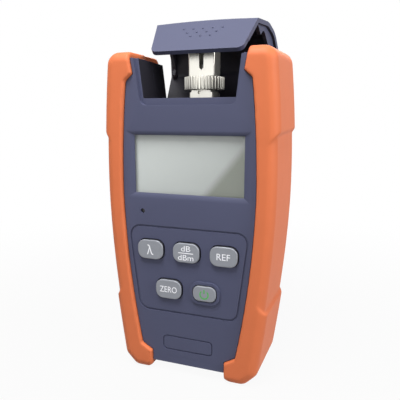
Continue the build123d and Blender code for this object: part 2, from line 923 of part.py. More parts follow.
with BuildPart() as key_mat:
    mat_face = tapered_face(mat_top, mat_bottom, mat_top_half, mat_bottom_half, 3)
    mat_inside = tapered_face(
        mat_top - mat_skirt, mat_bottom + mat_skirt, mat_top_half - mat_skirt, mat_bottom_half - mat_skirt, 2
    )
    prism(mat_face, mat_front, board_front_y)
    prism(mat_inside, mat_front + mat_thickness, board_front_y + 1, mode=Mode.SUBTRACT)
key_mat.part.label = "key_mat"

with BuildPart() as indicator_led:
    with Locations((indicator_x, board_front_y - led_height / 2, indicator_z)):
        Box(led_size, led_height, led_size)
indicator_led.part.label = "indicator_led"

with BuildPart() as indicator_lens:
    lens_radius = indicator_radius - seat_gap
    boss(
        indicator_x,
        indicator_z,
        lens_radius,
        front_face + indicator_recess,
        board_front_y - led_height - seat_gap,
    )
    boss(indicator_x, indicator_z, lens_radius + indicator_flange, front_inside, front_inside + 1)
indicator_lens.part.label = "indicator_lens"

# Port: base, detector, coupling ring, adapter and its sleeve
with BuildPart() as port_base:
    with BuildSketch(port_axis.offset(bay_floor)):
        RectangleRounded(port_flange_width, port_flange_depth, 2.5)
    extrude(amount=port_flange_thickness)
    with BuildSketch(port_axis.offset(bay_floor)):
        RectangleRounded(port_base_width, port_base_depth, 0.8)
    extrude(amount=port_base_top - bay_floor)
    with BuildSketch(port_axis.offset(bay_floor)):
        RectangleRounded(port_neck_width, port_neck_width, 0.8)
    extrude(amount=port_neck_top - bay_floor)
    with BuildSketch(port_axis.offset(bay_floor)):
        Circle(barrel_radius)
    extrude(amount=barrel_top - bay_floor)
    with BuildSketch(port_axis.offset(bay_floor)):
        Circle(header_radius + press_gap)
    extrude(amount=header_thickness, mode=Mode.SUBTRACT)
    with BuildSketch(port_axis.offset(bay_floor)):
        Circle(detector_radius + seat_gap)
    extrude(amount=header_thickness + detector_height + seat_gap, mode=Mode.SUBTRACT)
    with BuildSketch(port_axis.offset(bay_floor)):
        Circle(aperture_radius)
    extrude(amount=barrel_top - bay_floor + 1, mode=Mode.SUBTRACT)
    for x in (-port_screw_x, port_screw_x):
        with BuildSketch(port_axis.offset(bay_floor)):
            with Locations((x, 0)):
                Circle(port_screw_radius + screw_gap)
        extrude(amount=port_flange_thickness, mode=Mode.SUBTRACT)
    with BuildSketch(Plane.XZ) as locating_hole:
        with Locations((0, port_neck_top - port_hole_height / 2 - 0.2)):
            SlotOverall(port_hole_width, port_hole_height)
    neck_front = port_y - port_neck_width / 2
    prism(locating_hole.sketch, neck_front - 1, neck_front + 1.2, mode=Mode.SUBTRACT)
port_base.part.label = "port_base"

with BuildPart() as detector:
    with BuildSketch(port_axis.offset(bay_floor)):
        Circle(header_radius)
    extrude(amount=header_thickness)
    with BuildSketch(port_axis.offset(bay_floor)):
        Circle(detector_radius)
    extrude(amount=header_thickness + detector_height)
    with BuildSketch(port_axis.offset(bay_floor)):
        with PolarLocations(lead_circle, 3):
            Circle(lead_radius)
    extrude(amount=-lead_length)
detector.part.label = "detector"

with BuildPart() as coupling_ring:
    with BuildSketch(port_axis.offset(ring_bottom)):
        Circle(ring_radius)
        with PolarLocations(ring_radius, ring_groove_count):
            Circle(ring_groove_depth, mode=Mode.SUBTRACT)
    extrude(amount=ring_top - ring_bottom)
    with BuildSketch(port_axis.offset(ring_bottom)):
        Circle(barrel_radius + ring_running_gap)
    extrude(amount=ring_ledge - ring_bottom, mode=Mode.SUBTRACT)
    with BuildSketch(port_axis.offset(ring_ledge)):
        Circle(collar_radius + ring_play)
    extrude(amount=ring_top - ring_lip - ring_ledge, mode=Mode.SUBTRACT)
    with BuildSketch(port_axis.offset(ring_ledge)):
        Circle(neck_radius + ring_play)
    extrude(amount=ring_top - ring_ledge, mode=Mode.SUBTRACT)
coupling_ring.part.label = "coupling_ring"

with BuildPart() as adapter_body:
    with BuildSketch(port_axis.offset(barrel_top)):
        Circle(collar_radius)
    extrude(amount=collar_thickness)
    with BuildSketch(port_axis.offset(barrel_top)):
        Circle(neck_radius)
    extrude(amount=adapter_bottom - barrel_top)
    with BuildSketch(port_axis.offset(adapter_bottom)):
        RectangleRounded(adapter_width, adapter_depth, 0.6)
    extrude(amount=adapter_top - adapter_bottom)
    with BuildSketch(port_axis.offset(adapter_floor)):
        RectangleRounded(socket_width, socket_depth, 0.5)
    extrude(amount=adapter_top - adapter_floor, mode=Mode.SUBTRACT)
    with BuildSketch(port_axis.offset(barrel_top)):
        Circle(sleeve_radius + press_gap)
    extrude(amount=adapter_top - barrel_top, mode=Mode.SUBTRACT)
    with BuildSketch(Plane.XZ) as keyway_face:
        with BuildLine():
            Polyline(
                (0, keyway_bottom),
                (keyway_width / 2, keyway_bottom + keyway_width / 2),
                (keyway_width / 2, adapter_top + 1),
                (-keyway_width / 2, adapter_top + 1),
                (-keyway_width / 2, keyway_bottom + keyway_width / 2),
                close=True,
            )
        make_face()
    prism(keyway_face.sketch, port_y - adapter_depth, port_y, mode=Mode.SUBTRACT)
adapter_body.part.label = "adapter_body"

with BuildPart() as adapter_sleeve:
    with BuildSketch(port_axis.offset(sleeve_bottom)):
        Circle(sleeve_radius)
        Circle(sleeve_bore_radius, mode=Mode.SUBTRACT)
    extrude(amount=sleeve_top - sleeve_bottom)
    chamfer(adapter_sleeve.faces().sort_by(Axis.Z)[-1].edges(), 0.2)
adapter_sleeve.part.label = "adapter_sleeve"

# Battery door with its pivots, and the two cells with their contacts
with BuildPart() as battery_door:
    with BuildSketch(Plane.YZ.offset(-door_half)):
        with Locations((door_pivot_y, (door_bottom + door_pivot_radius + door_top) / 2)):
            Rectangle(door_thickness, door_top - door_bottom - door_pivot_radius)
        with Locations((door_pivot_y, door_bottom + door_pivot_radius)):
            Circle(door_pivot_radius)
    extrude(amount=2 * door_half)
    with Locations((0, door_pivot_y, door_bottom + door_pivot_radius)):
        Cylinder(door_stub_radius, 2 * (door_half + door_stub_length), rotation=(0, 90, 0))
    with BuildSketch(Plane.XZ) as thumb_recess:
        with Locations((0, door_top - thumb_recess_height)):
            SlotOverall(thumb_recess_width, thumb_recess_height)
    prism(thumb_recess.sketch, back_face - thumb_recess_depth, back_face + 1, mode=Mode.SUBTRACT)
battery_door.part.label = "battery_door"


def cell_pole(x, z):
    """Plane across a cell, at a height."""
    return Plane((x, cell_y, z), x_dir=(1, 0, 0), z_dir=(0, 0, 1))


with BuildPart() as left_battery:
    with BuildSketch(cell_pole(-cell_x, cell_bottom)):
        Circle(cell_radius)
    extrude(amount=cell_length)
    with BuildSketch(cell_pole(-cell_x, cell_bottom)):
        Circle(cell_nub_radius)
    extrude(amount=cell_length + cell_nub_length)
left_battery.part.label = "left_battery"

with BuildPart() as right_battery:
    with BuildSketch(cell_pole(cell_x, cell_bottom + cell_nub_length)):
        Circle(cell_radius)
    extrude(amount=cell_length)
    with BuildSketch(cell_pole(cell_x, cell_bottom)):
        Circle(cell_nub_radius)
    extrude(amount=cell_length + cell_nub_length)
right_battery.part.label = "right_battery"


def contact_profile(wall_z, cell_z):
    """Side view of a leaf contact that lies on a wall and springs against a cell."""
    with BuildSketch(Plane.YZ) as profile:
        with BuildLine():
            Polyline(
                (cell_y + contact_reach, wall_z),
                (cell_y - contact_reach, wall_z),
                (cell_y - contact_reach + 0.8, (wall_z + cell_z) / 2),
                (cell_y + 1, cell_z),
            )
        trace(line_width=contact_thickness)
    return profile.sketch


half_leaf = contact_thickness / 2
bottom_leaf = contact_profile(compartment_bottom + half_leaf, cell_bottom - half_leaf - seat_gap)
top_leaf = contact_profile(compartment_top - half_leaf, cells_top + half_leaf + seat_gap)

with BuildPart() as contact_bridge:
    for x in (-cell_x, cell_x):
        start = bottom_leaf.moved(Location((x - contact_width / 2, 0, 0)))
        extrude(to_extrude=start, amount=contact_width, dir=(1, 0, 0))
    with Locations((0, cell_y, compartment_bottom + half_leaf)):
        Box(2 * cell_x, 2 * contact_reach, contact_thickness)
contact_bridge.part.label = "contact_bridge"

for side, name in ((-1, "contact_positive"), (1, "contact_negative")):
    with BuildPart() as contact:
        start = top_leaf.moved(Location((side * cell_x - contact_width / 2, 0, 0)))
        extrude(to_extrude=start, amount=contact_width, dir=(1, 0, 0))
    contact.part.label = name
    export_step(contact.part, f"parts/{name}.step")

# Keys and the switches under them
for name, cap in keys.items():
    x, z = cap[:2]
    with BuildPart() as key:
        prism(rounded_face(*cap), front_face - key_proud, flange_front)
        fillet(key.faces().sort_by(Axis.Y)[0].edges(), key_edge)
        prism(rounded_face(*cap, growth=key_flange), flange_front, flange_back)
    key.part.label = f"key_{name}"
    export_step(key.part, f"parts/key_{name}.step")

    with BuildPart() as key_switch:
        switch_base = board_front_y - switch_height + switch_button_height
        square = block_face(
            x - switch_size / 2, x + switch_size / 2, z - switch_size / 2, z + switch_size / 2
        )
        prism(square, switch_base, board_front_y)
        boss(x, z, switch_button_radius, board_front_y - switch_height, switch_base)
    key_switch.part.label = f"switch_{name}"
    export_step(key_switch.part, f"parts/switch_{name}.step")

# Screws
screw_corners = ("upper_left", "upper_right", "lower_left", "lower_right")
for corner, (x, z) in zip(screw_corners, both_sides(housing_screw_places)):
    seat = back_face - housing_head_recess
    with BuildPart() as housing_screw:
        boss(x, z, housing_head_radius, seat, seat + housing_head_height)
        boss(x, z, housing_screw_radius, seat - housing_screw_length, seat)
    housing_screw.part.label = f"housing_screw_{corner}"
    export_step(housing_screw.part, f"parts/housing_screw_{corner}.step")

for corner, (x, z) in zip(screw_corners, both_sides(board_post_places)):
    with BuildPart() as board_screw:
        boss(x, z, board_head_radius, board_back_y, board_back_y + board_head_height)
        boss(x, z, board_screw_radius, board_back_y - board_screw_length, board_back_y)
    board_screw.part.label = f"board_screw_{corner}"
    export_step(board_screw.part, f"parts/board_screw_{corner}.step")

for side, name in ((-1, "port_screw_left"), (1, "port_screw_right")):
    seat = bay_floor + port_flange_thickness
    with BuildPart() as port_screw:
        with BuildSketch(port_axis.offset(seat)):
            with Locations((side * port_screw_x, 0)):
                Circle(port_screw_head_radius)
        extrude(amount=port_screw_head_height)
        with BuildSketch(port_axis.offset(seat)):
            with Locations((side * port_screw_x, 0)):
                Circle(port_screw_radius)
        extrude(amount=-port_screw_length)
    port_screw.part.label = name
    export_step(port_screw.part, f"parts/{name}.step")

export_step(front_shell.part, "parts/front_shell.step")
export_step(rear_shell.part, "parts/rear_shell.step")
export_step(right_bumper.part, "parts/right_bumper.step")
export_step(left_bumper.part, "parts/left_bumper.step")
export_step(port_cover.part, "parts/port_cover.step")
export_step(cover_hinge_pin.part, "parts/cover_hinge_pin.step")
export_step(display_window.part, "parts/display_window.step")
export_step(display_panel.part, "parts/display_panel.step")
export_step(display_holder.part, "parts/display_holder.step")
export_step(circuit_board.part, "parts/circuit_board.step")
export_step(key_mat.part, "parts/key_mat.step")
export_step(indicator_led.part, "parts/indicator_led.step")
export_step(indicator_lens.part, "parts/indicator_lens.step")
export_step(port_base.part, "parts/port_base.step")
export_step(detector.part, "parts/detector.step")
export_step(coupling_ring.part, "parts/coupling_ring.step")
export_step(adapter_body.part, "parts/adapter_body.step")
export_step(adapter_sleeve.part, "parts/adapter_sleeve.step")
export_step(battery_door.part, "parts/battery_door.step")
export_step(left_battery.part, "parts/left_battery.step")
export_step(right_battery.part, "parts/right_battery.step")
export_step(contact_bridge.part, "parts/contact_bridge.step")
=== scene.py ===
"""Looks of a hand-held optical power meter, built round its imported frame.

Lengths are metres. X runs across the meter, Y from its display to its back and Z up.
"""

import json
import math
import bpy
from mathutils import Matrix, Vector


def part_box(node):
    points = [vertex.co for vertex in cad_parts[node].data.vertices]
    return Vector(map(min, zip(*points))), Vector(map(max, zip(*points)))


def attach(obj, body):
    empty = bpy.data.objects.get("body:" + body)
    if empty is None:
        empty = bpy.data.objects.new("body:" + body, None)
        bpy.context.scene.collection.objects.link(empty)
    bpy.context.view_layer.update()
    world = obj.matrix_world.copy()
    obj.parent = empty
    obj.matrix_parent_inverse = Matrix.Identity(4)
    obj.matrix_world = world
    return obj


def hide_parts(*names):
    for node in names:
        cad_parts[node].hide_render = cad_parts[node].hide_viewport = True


bl_info = {
    "name": "Optical power meter",
    "version": (1, 0, 0),
    "blender": (4, 5, 0),
    "location": "3D View > Sidebar > Power Meter",
    "description": "Models the outer pieces of an optical power meter and sets up its studio",
    "category": "Add Mesh",
}

from contextlib import contextmanager

import bmesh
import bpy
from bpy.props import FloatProperty, FloatVectorProperty, PointerProperty
from mathutils import Vector

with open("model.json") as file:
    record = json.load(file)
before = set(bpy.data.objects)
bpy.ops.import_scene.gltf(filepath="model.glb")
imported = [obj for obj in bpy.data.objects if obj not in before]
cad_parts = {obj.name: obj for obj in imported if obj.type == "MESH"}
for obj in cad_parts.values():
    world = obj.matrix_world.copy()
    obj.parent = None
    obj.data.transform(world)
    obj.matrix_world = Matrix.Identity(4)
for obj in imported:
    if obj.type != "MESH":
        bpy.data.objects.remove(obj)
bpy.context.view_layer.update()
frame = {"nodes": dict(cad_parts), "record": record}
MM = 0.001

# Meshes: vertices nearer than this are joined, and faces that meet flatter than this are too
MERGE_DISTANCE = 0.002 * MM
LEGEND_MERGE_DISTANCE = 0.001 * MM
FLAT_ANGLE = math.radians(0.5)

# Keys: sizes of the frame's keys that the modelled ones follow, and how far behind the face of
# the casing the paint on their caps ends
KEY_NAMES = ("wavelength", "units", "reference", "zero", "power")
KEY_FLANGE = 0.9 * MM
KEY_FLANGE_THICKNESS = 0.8 * MM
KEY_CORNER = 3.4 * MM
POWER_KEY_CORNER = 2.8 * MM
CAP_PAINT_DEPTH = 0.3 * MM

# Display: shares of the panel's width and height by which the edge of the painted dark reflection
# in its lower right corner slants, where on the lower edge it starts, how soft it is in mm, and
# how bright the painted highlight makes the rest beside the display's colour, from the top left to
# that edge
PAINTED_REFLECTION_SLANT_X = 0.37
PAINTED_REFLECTION_SLANT_Z = 0.85
PAINTED_REFLECTION_START = 0.6
PAINTED_REFLECTION_SOFT_BEFORE = 1.5
PAINTED_REFLECTION_SOFT_BEHIND = 3.5
PAINTED_HIGHLIGHT_BRIGHTEST = 1.3
PAINTED_HIGHLIGHT_FAINTEST = 0.9

# Legends, in mm: piece, key, words, width, height and lift above the key's middle
LEGENDS = (
    ("wavelength_legend", "wavelength", "λ", 3.0, 4.5, 0.0),
    ("decibel_legend", "units", "dB", 4.2, 2.4, 2.0),
    ("milliwatt_legend", "units", "dBm", 7.0, 2.4, -1.95),
    ("reference_legend", "reference", "REF", 5.8, 2.7, 0.0),
    ("zero_legend", "zero", "ZERO", 8.0, 2.7, 0.0),
)
UNITS_BAR_HALF_LENGTH = 3.4
UNITS_BAR_HALF_WIDTH = 0.17
UNITS_BAR_CORNER = 0.1
SYMBOL_DROP = 0.25
SYMBOL_OPENING = math.radians(84)
SYMBOL_STEPS = 36

# Housing screws, in mm: the cross recess in the head, and how far it narrows inwards
SCREW_CORNERS = ("upper_left", "upper_right", "lower_left", "lower_right")
CROSS_HALF_LENGTH = 1.35
CROSS_HALF_WIDTH = 0.32
CROSS_DEPTH = 1.1
CROSS_TAPER = 0.45

# Port bay in the top of the casing, in mm: the box whose inner faces get near-black painted shade
BAY_LOW = (-25, -13.2, 115.5)
BAY_HIGH = (25, 17.1, 137.9)

# Camera: place in mm, turn in degrees, lens and sensor in mm
CAMERA_PLACE = (67.52, -188.66, 114.23)
CAMERA_TURN = (79.49, 0, 19.74)
CAMERA_LENS = 40.5
CAMERA_SENSOR = 36
CAMERA_NEAR = 0.01

# Floor, in metres: its side, and the ring in which it fades into the white background
FLOOR_SIDE = 6
FLOOR_FADE_START = 0.06
FLOOR_FADE_END = 0.35
FLOOR_WHITE_NEAR = 0.94

# Light: strength of the air round the meter, and area lamps by place and size in metres and
# power in watts, which all look at one point in the meter
AIR_STRENGTH = 0.12
LAMPS = (
    ("key_lamp", (-0.03, -0.19, 0.49), 2.9, 0.2),
    ("right_lamp", (0.55, -0.12, 0.3), 2.8, 0.3),
    ("front_lamp", (-0.1, -0.6, 0.25), 0.5, 0.4),
    ("back_lamp", (-0.1, 0.6, 0.35), 1.6, 0.4),
)
LAMP_TARGET = (0, 0, 0.08)


def mm(*values):
    """A point or a size given in millimetres."""
    return Vector(values) * MM


def corners_of(node):
    """The lowest and the highest corner of a frame node's box."""
    return [Vector(corner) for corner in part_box(node)]


def linear(hex_colour):
    """Linear RGBA of an sRGB hex colour."""
    channels = [int(hex_colour[i : i + 2], 16) / 255 for i in (1, 3, 5)]
    return [c / 12.92 if c <= 0.04045 else ((c + 0.055) / 1.055) ** 2.4 for c in channels] + [1.0]


# Colours and sizes that a user may change


def colour_setting(name, description, hex_colour):
    """A colour that a user may change."""
    return FloatVectorProperty(
        name=name,
        description=description,
        subtype="COLOR",
        size=4,
        min=0.0,
        max=1.0,
        default=linear(hex_colour),
    )


def length_setting(name, description, default, low, high):
    """A length in millimetres that a user may change, with its limits."""
    return FloatProperty(
        name=name,
        description=description,
        default=default * MM,
        min=low * MM,
        max=high * MM,
        unit="LENGTH",
    )


class MeterColours(bpy.types.PropertyGroup):
    """Colours of the meter's plastics, rubbers and metals"""

    shell: colour_setting(
        "Casing",
        "Slate blue of the casing, the port cover and the battery door",
        "#474A62",
    )
    # Near-black painted shade on the inner faces of the port bay and of the inside of its cover
    hollow_painted_shade: colour_setting(
        "Lining",
        "Near black of the port bay and of the inside of its cover",
        "#25242C",
    )
    bumper: colour_setting(
        "Bumper",
        "Orange of the two side bumpers",
        "#CF6F45",
    )
    key: colour_setting(
        "Key",
        "Grey of the five key caps",
        "#888B92",
    )
    legend: colour_setting(
        "Legend",
        "White of the printed legends",
        "#EDEDF2",
    )
    power_symbol: colour_setting(
        "Power symbol",
        "Green of the symbol on the power key",
        "#4FA552",
    )
    # The display's colour, which is brightened towards the top left as a painted highlight
    display_lit: colour_setting(
        "Display",
        "Pale grey of the display where it catches the light",
        "#BCC1BE",
    )
    # Painted dark reflection in the display's lower right corner
    display_painted_reflection: colour_setting(
        "Display shade",
        "Greenish grey of the display's darker corner",
        "#757A6C",
    )
    metal: colour_setting(
        "Port metal",
        "Colour of the port, its adapter and its ring",
        "#D2D0C8",
    )


class MeterSizes(bpy.types.PropertyGroup):
    """Sizes of the meter's fine shapes"""

    casing_edge: length_setting(
        "Casing edge",
        "Rounding of the casing's sharp edges",
        default=0.22,
        low=0.05,
        high=0.4,
    )
    port_edge: length_setting(
        "Port edge",
        "Rounding of the edges of the port's turned and milled pieces",
        default=0.12,
        low=0.02,
        high=0.2,
    )
    bumper_cell: length_setting(
        "Bumper fineness",
        "Size of the faces that the bumper's soft skin is drawn with",
        default=0.5,
        low=0.35,
        high=1.0,
    )
    key_edge: length_setting(
        "Key edge",
        "Rounding round the top of a key cap",
        default=0.5,
        low=0.1,
        high=0.8,
    )
    legend_thickness: length_setting(
        "Legend thickness",
        "How far the printed legends stand out from a key",
        default=0.05,
        low=0.01,
        high=0.1,
    )
    symbol_radius: length_setting(
        "Power symbol radius",
        "Radius of the ring of the power symbol, to the middle of its stroke",
        default=1.8,
        low=1.0,
        high=2.2,
    )
    symbol_stroke: length_setting(
        "Power symbol stroke",
        "Width of the strokes of the power symbol",
        default=0.55,
        low=0.2,
        high=0.9,
    )


# Materials


def add_node(tree, kind, links=None, **settings):
    """Adds a node, sets its properties and sockets, and links its inputs."""
    node = tree.nodes.new(kind)
    for name, value in settings.items():
        if hasattr(node, name):
            setattr(node, name, value)
        else:
            node.inputs[name.replace("_", " ")].default_value = value
    for socket, source in (links or {}).items():
        tree.links.new(source, node.inputs[socket])
    return node


def start_material(name, **settings):
    """A material with one Principled shader whose sockets have the given values."""
    material = bpy.data.materials.new(name)
    material.use_nodes = True
    tree = material.node_tree
    tree.nodes.clear()
    shader = add_node(tree, "ShaderNodeBsdfPrincipled")
    for socket, value in settings.items():
        shader.inputs[socket.replace("_", " ")].default_value = value
    add_node(tree, "ShaderNodeOutputMaterial", {"Surface": shader.outputs[0]})
    return material, tree, shader


def add_grain(tree, shader, grain_mm, height_mm, roughness, spread):
    """Moulding grain of a real size: its bump, and the uneven gloss that it gives."""
    place = add_node(tree, "ShaderNodeTexCoord")
    noise = add_node(
        tree,
        "ShaderNodeTexNoise",
        {"Vector": place.outputs["Object"]},
        Scale=1 / (grain_mm * MM),
        Detail=3.0,
        Roughness=0.6,
    )
    bump = add_node(
        tree, "ShaderNodeBump", {"Height": noise.outputs[0]}, Strength=1.0, Distance=height_mm * MM
    )
    gloss = add_node(
        tree,
        "ShaderNodeMapRange",
        {"Value": noise.outputs[0]},
        From_Min=0.3,
        From_Max=0.7,
        To_Min=roughness - spread,
        To_Max=roughness + spread,
    )
    tree.links.new(bump.outputs[0], shader.inputs["Normal"])
    tree.links.new(gloss.outputs[0], shader.inputs["Roughness"])


def scaled(colour, factor):
    """A colour made brighter or darker by a factor, kept within 1."""
    return [min(1.0, channel * factor) for channel in colour[:3]] + [1.0]


def add_tint(tree, shader, colour, patch_mm, spread):
    """Slow unevenness of a moulded colour, in patches of a real size."""
    place = add_node(tree, "ShaderNodeTexCoord")
    patches = add_node(
        tree,
        "ShaderNodeTexNoise",
        {"Vector": place.outputs["Object"]},
        Scale=1 / (patch_mm * MM),
        Detail=2.0,
    )
    mix = add_node(tree, "ShaderNodeMix", data_type="RGBA")
    mix.inputs[6].default_value = scaled(colour, 1 - spread)
    mix.inputs[7].default_value = scaled(colour, 1 + spread)
    tree.links.new(patches.outputs[0], mix.inputs[0])
    tree.links.new(mix.outputs[2], shader.inputs["Base Color"])


def moulded_abs(name, colour):
    """Spark-eroded ABS: an even satin with a fine grain."""
    material, tree, shader = start_material(name, IOR=1.5, Specular_IOR_Level=0.3)
    add_tint(tree, shader, colour, patch_mm=14, spread=0.03)
    add_grain(tree, shader, grain_mm=0.35, height_mm=0.02, roughness=0.5, spread=0.05)
    return material


def soft_elastomer(colour):
    """Overmoulded thermoplastic elastomer: matt, and a little uneven where it cooled."""
    material, tree, shader = start_material("soft_elastomer", IOR=1.45, Specular_IOR_Level=0.3)
    add_tint(tree, shader, colour, patch_mm=9, spread=0.04)
    add_grain(tree, shader, grain_mm=0.45, height_mm=0.03, roughness=0.56, spread=0.05)
    return material


def silicone_rubber(name, colour):
    """Pressed silicone: matt and slightly waxy."""
    material, tree, shader = start_material(name, IOR=1.42)
    add_tint(tree, shader, colour, patch_mm=5, spread=0.03)
    add_grain(tree, shader, grain_mm=0.3, height_mm=0.012, roughness=0.48, spread=0.05)
    return material


def sprayed_silicone(colour):
    """Soft paint sprayed on the key caps: a satin, a little glossier than the bare rubber."""
    material, tree, shader = start_material("sprayed_silicone", IOR=1.45)
    add_tint(tree, shader, colour, patch_mm=4, spread=0.03)
    add_grain(tree, shader, grain_mm=0.25, height_mm=0.008, roughness=0.38, spread=0.05)
    return material


def plated_metal(name, colour, roughness):
    """Satin nickel over a cut or pressed metal: a pale sheen, blurred by the fine tool marks."""
    material, tree, shader = start_material(name, Metallic=1.0)
    add_tint(tree, shader, colour, patch_mm=3, spread=0.03)
    add_grain(tree, shader, grain_mm=0.25, height_mm=0.006, roughness=roughness, spread=0.06)
    return material


def plain_plastic(name, colour, roughness):
    """Moulded plastic with a light grain."""
    material, tree, shader = start_material(name, IOR=1.5)
    add_tint(tree, shader, colour, patch_mm=6, spread=0.02)
    add_grain(tree, shader, grain_mm=0.4, height_mm=0.01, roughness=roughness, spread=0.04)
    return material


def screen_ink(name, colour):
    """Pad-printed ink: thin, matt and opaque."""
    material, tree, shader = start_material(name, IOR=1.5)
    add_tint(tree, shader, colour, patch_mm=1, spread=0.02)
    add_grain(tree, shader, grain_mm=0.2, height_mm=0.004, roughness=0.6, spread=0.05)
    return material


def window_acrylic():
    """Clear cast acrylic: it only adds a faint grey film over what lies behind."""
    material, tree, shader = start_material("window_acrylic", IOR=1.49, Alpha=0.1)
    add_tint(tree, shader, linear("#C4C8C8"), patch_mm=20, spread=0.01)
    add_grain(tree, shader, grain_mm=2.0, height_mm=0.001, roughness=0.08, spread=0.02)
    return material


def reflective_display(lit, shade):
    """Laminated liquid-crystal glass: pale grey, with a painted highlight brightest at the top
    left and fading to the right, and a painted dark, greener reflection in the lower right corner.

    The painted reflection's edge slants up to the right from a point on the panel's lower edge.
    """
    material, tree, shader = start_material(
        "reflective_display", IOR=1.5, Coat_Weight=0.3, Coat_Roughness=0.1
    )
    low, high = corners_of("display_panel")
    size = high - low
    slant = Vector((PAINTED_REFLECTION_SLANT_X * size.x, 0, PAINTED_REFLECTION_SLANT_Z * size.z)).normalized()
    across = Vector((slant.z, 0, -slant.x))
    painted_highlight_edge = across.dot(Vector((low.x, 0, high.z)))
    painted_reflection_edge = across.dot(low + Vector((PAINTED_REFLECTION_START * size.x, 0, 0)))
    place = add_node(tree, "ShaderNodeTexCoord")
    depth = add_node(
        tree, "ShaderNodeVectorMath", {0: place.outputs["Object"]}, operation="DOT_PRODUCT"
    )
    depth.inputs[1].default_value = across
    # Painted highlight: the display's colour is brightest at the top left and fades towards the
    # painted reflection
    painted_highlight_falloff = add_node(
        tree,
        "ShaderNodeMapRange",
        {"Value": depth.outputs["Value"]},
        From_Min=painted_highlight_edge,
        From_Max=painted_reflection_edge,
    )
    # Painted dark reflection: a soft edge into the lower right corner
    fade = add_node(
        tree,
        "ShaderNodeMapRange",
        {"Value": depth.outputs["Value"]},
        interpolation_type="SMOOTHSTEP",
        From_Min=painted_reflection_edge - PAINTED_REFLECTION_SOFT_BEFORE * MM,
        From_Max=painted_reflection_edge + PAINTED_REFLECTION_SOFT_BEHIND * MM,
    )
    painted_highlight = add_node(tree, "ShaderNodeMix", {0: painted_highlight_falloff.outputs[0]}, data_type="RGBA")
    painted_highlight.inputs[6].default_value = scaled(lit, PAINTED_HIGHLIGHT_BRIGHTEST)
    painted_highlight.inputs[7].default_value = scaled(lit, PAINTED_HIGHLIGHT_FAINTEST)
    mix = add_node(
        tree, "ShaderNodeMix", {0: fade.outputs[0], 6: painted_highlight.outputs[2]}, data_type="RGBA"
    )
    mix.inputs[7].default_value = shade
    tree.links.new(mix.outputs[2], shader.inputs["Base Color"])
    add_grain(tree, shader, grain_mm=0.6, height_mm=0.002, roughness=0.4, spread=0.04)
    return material


def paint(piece, material):
    """Gives a piece one material all over."""
    piece.data.materials.clear()
    piece.data.materials.append(material)


# Work in edit mode


def work_on(piece):
    """Makes one piece the only selected and the active one."""
    bpy.ops.object.select_all(action="DESELECT")
    piece.select_set(True)
    bpy.context.view_layer.objects.active = piece


@contextmanager
def editing(piece, kind):
    """Edit mode on one piece, with faces or edges to pick."""
    work_on(piece)
    bpy.ops.object.mode_set(mode="EDIT")
    bpy.ops.mesh.select_mode(type=kind)
    yield
    bpy.ops.object.mode_set(mode="OBJECT")


def pick_faces(piece, wanted):
    """Selects only the faces that pass a test."""
    bpy.ops.mesh.select_all(action="DESELECT")
    mesh = bmesh.from_edit_mesh(piece.data)
    for face in mesh.faces:
        if wanted(face):
            face.select_set(True)
    bmesh.update_edit_mesh(piece.data)


def pick_edges(piece, wanted):
    """Selects only the edges that pass a test."""
    bpy.ops.mesh.select_all(action="DESELECT")
    mesh = bmesh.from_edit_mesh(piece.data)
    for edge in mesh.edges:
        if wanted(edge):
            edge.select_set(True)
    bmesh.update_edit_mesh(piece.data)


def faces_front(face):
    """Whether a face looks to the front of the meter."""
    return face.normal.y < -0.99


def runs_along(axis):
    """A test for edges that are parallel to an axis: 0 is X, 1 is Y and 2 is Z."""

    def wanted(edge):
        run = (edge.verts[1].co - edge.verts[0].co).normalized()
        return abs(run[axis]) > 0.99

    return wanted


def add_block(name, low, high):
    """A box between two corners, with its place in its mesh."""
    low, high = Vector(low), Vector(high)
    bpy.ops.object.select_all(action="DESELECT")
    bpy.ops.mesh.primitive_cube_add(size=1, location=(low + high) / 2)
    piece = bpy.context.object
    piece.name = name
    piece.scale = high - low
    bpy.ops.object.transform_apply(location=True, rotation=True, scale=True)
    return piece


def keep_modifier(piece, kind, **settings):
    """Adds a modifier with its settings and applies it."""
    work_on(piece)
    modifier = piece.modifiers.new(kind.lower(), kind)
    for name, value in settings.items():
        setattr(modifier, name, value)
    bpy.ops.object.modifier_apply(modifier=modifier.name)


def dressed_copy(node, name, rounding, sharp_angle=35):
    """A copy of a frame node with its faces joined up and its sharp edges rounded."""
    piece = bpy.data.objects.new(name, frame["nodes"][node].data.copy())
    bpy.context.collection.objects.link(piece)
    work_on(piece)
    bpy.ops.mesh.customdata_custom_splitnormals_clear()
    with editing(piece, "EDGE"):
        bpy.ops.mesh.select_all(action="SELECT")
        bpy.ops.mesh.remove_doubles(threshold=MERGE_DISTANCE)
        bpy.ops.mesh.dissolve_limited(angle_limit=FLAT_ANGLE)
        if rounding:
            bpy.ops.mesh.select_all(action="DESELECT")
            bpy.ops.mesh.edges_select_sharp(sharpness=math.radians(sharp_angle))
            bpy.ops.mesh.bevel(offset=rounding, segments=2, affect="EDGES", clamp_overlap=True)
    return piece


def finish_piece(piece, body, material, nodes=(), smooth_angle=32):
    """Shades a piece, paints it, ties it to its body and hides the nodes it stands for."""
    work_on(piece)
    bpy.ops.object.shade_smooth_by_angle(angle=math.radians(smooth_angle))
    keep_modifier(piece, "WEIGHTED_NORMAL", keep_sharp=True)
    paint(piece, material)
    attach(piece, body)
    if nodes:
        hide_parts(*nodes)


# Studio


def rays_to_the_eye(tree):
    """1 for the rays that show the background: straight, off a gloss or through a window."""
    ray = add_node(tree, "ShaderNodeLightPath")
    seen = ray.outputs["Is Camera Ray"]
    for kind in ("Is Glossy Ray", "Is Transmission Ray"):
        pair = {0: seen, 1: ray.outputs[kind]}
        seen = add_node(tree, "ShaderNodeMath", pair, operation="MAXIMUM").outputs[0]
    return seen


